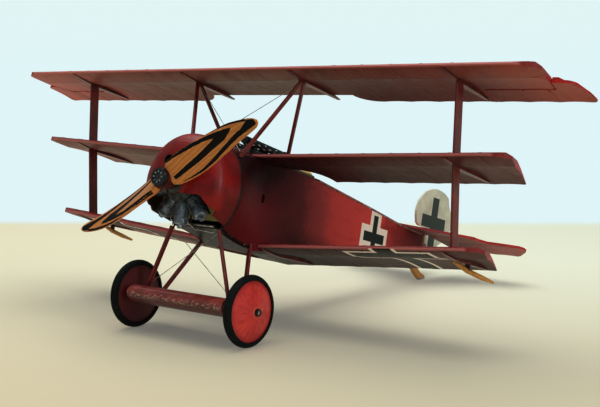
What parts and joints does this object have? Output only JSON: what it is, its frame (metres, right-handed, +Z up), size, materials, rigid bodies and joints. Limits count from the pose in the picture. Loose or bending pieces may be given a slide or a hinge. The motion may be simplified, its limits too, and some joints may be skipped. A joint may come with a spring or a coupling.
{
  "type": "triplane scale model",
  "caption": "Display model of a rotary-engined triplane fighter with spinning engine and propeller, rolling wheels and hinged control surfaces.",
  "frame": {"origin": "on the ground, at the centre of the bounding box", "axes": "+X towards the port wing tip, +Y towards the tail, +Z up; the nose points along -Y"},
  "size_m": [0.2182, 0.1745, 0.0826],
  "materials": {
    "skin_red": "satin red over printed card",
    "cowl_red": "glossy red",
    "strut_red": "satin dark red",
    "cream_paint": "matt cream with a black cross",
    "tyre": "matt",
    "wheel_cover": "matt faded red",
    "dark_metal": "satin black",
    "bare_steel": "satin",
    "engine_grey": "satin dark grey",
    "laminated_wood": "varnished, laminated",
    "black_paint": "gloss",
    "gun_black": "satin",
    "belly_grey": "glossy dark grey-green",
    "khaki_paint": "satin",
    "padded_leather": "worn",
    "ply_wood": "matt",
    "seat_ochre": "satin ochre",
    "skid_wood": "satin"
  },
  "bodies": {
    "airframe": {"fuselage_side_port": "skin_red", "fuselage_side_starboard": "skin_red", "front_belly": "belly_grey", "rear_belly": "skin_red", "front_decking": "skin_red", "rear_decking": "skin_red", "cockpit_coaming": "padded_leather", "instrument_panel": "ply_wood", "seat_bulkhead": "ply_wood", "cockpit_floor": "ply_wood", "seat": "seat_ochre", "control_stick": "dark_metal", "rudder_bar": "bare_steel", "firewall": "khaki_paint", "cowling": "cowl_red", "crankshaft": "bare_steel", "drain_pipes": "bare_steel", "gun_port": "gun_black", "gun_starboard": "gun_black", "gun_brackets": "dark_metal", "upper_wing": "skin_red", "middle_wing_port": "skin_red", "middle_wing_starboard": "skin_red", "wing_roots": "skin_red", "lower_wing_port": "skin_red", "lower_wing_starboard": "skin_red", "keel_ribs": "strut_red", "interplane_struts_port": "strut_red", "interplane_struts_starboard": "strut_red", "cabane_struts": "strut_red", "bracing_wires": "bare_steel", "hinge_pins": "bare_steel", "gear_struts": "strut_red", "axle": "bare_steel", "axle_wing": "strut_red", "axle_retainers": "dark_metal", "tailplane": "skin_red", "sternpost": "strut_red", "tail_skid": "skid_wood", "skid_shoe": "bare_steel", "tip_skids": "skid_wood", "skid_brackets": "dark_metal"},
    "engine": {"crankcase": "engine_grey", "cylinders": "engine_grey", "pushrods": "bare_steel", "propeller": "laminated_wood", "hub_cap": "black_paint", "hub_bolts": "bare_steel"},
    "wheel_port": {"port_tyre": "tyre", "port_wheel_disc": "wheel_cover", "port_wheel_bush": "dark_metal"},
    "wheel_starboard": {"starboard_tyre": "tyre", "starboard_wheel_disc": "wheel_cover", "starboard_wheel_bush": "dark_metal"},
    "aileron_port": {"aileron_port": "skin_red"},
    "aileron_starboard": {"aileron_starboard": "skin_red"},
    "elevator": {"elevator": "skin_red"},
    "rudder": {"rudder": "cream_paint"}
  },
  "joints": [
    {"name": "engine_spin", "type": "hinge", "parent": "airframe", "child": "engine", "pos_m": [0, -0.0853, 0.05015], "axis": [0, -0.97, 0.2431], "continuous": true},
    {"name": "wheel_port_spin", "type": "hinge", "parent": "airframe", "child": "wheel_port", "pos_m": [0.0236, -0.07186, 0.0108], "axis": [1, 0, 0], "continuous": true},
    {"name": "wheel_starboard_spin", "type": "hinge", "parent": "airframe", "child": "wheel_starboard", "pos_m": [-0.0236, -0.07186, 0.0108], "axis": [1, 0, 0], "continuous": true},
    {"name": "aileron_port_hinge", "type": "hinge", "parent": "airframe", "child": "aileron_port", "pos_m": [0.0895, -0.03238, 0.07583], "axis": [1, 0, 0], "range_deg": [-20, 20]},
    {"name": "aileron_starboard_hinge", "type": "hinge", "parent": "airframe", "child": "aileron_starboard", "pos_m": [-0.0895, -0.03238, 0.07583], "axis": [1, 0, 0], "range_deg": [-20, 20]},
    {"name": "elevator_hinge", "type": "hinge", "parent": "airframe", "child": "elevator", "pos_m": [0, 0.06375, 0.01843], "axis": [1, 0, 0], "range_deg": [-20, 25]},
    {"name": "rudder_hinge", "type": "hinge", "parent": "airframe", "child": "rudder", "pos_m": [0, 0.06495, 0.01249], "axis": [0, 0.2431, 0.97], "range_deg": [-25, 25]}
  ],
  "couplings": [
    {"joint": "aileron_starboard_hinge", "follows": "aileron_port_hinge", "ratio": -1}
  ]
}
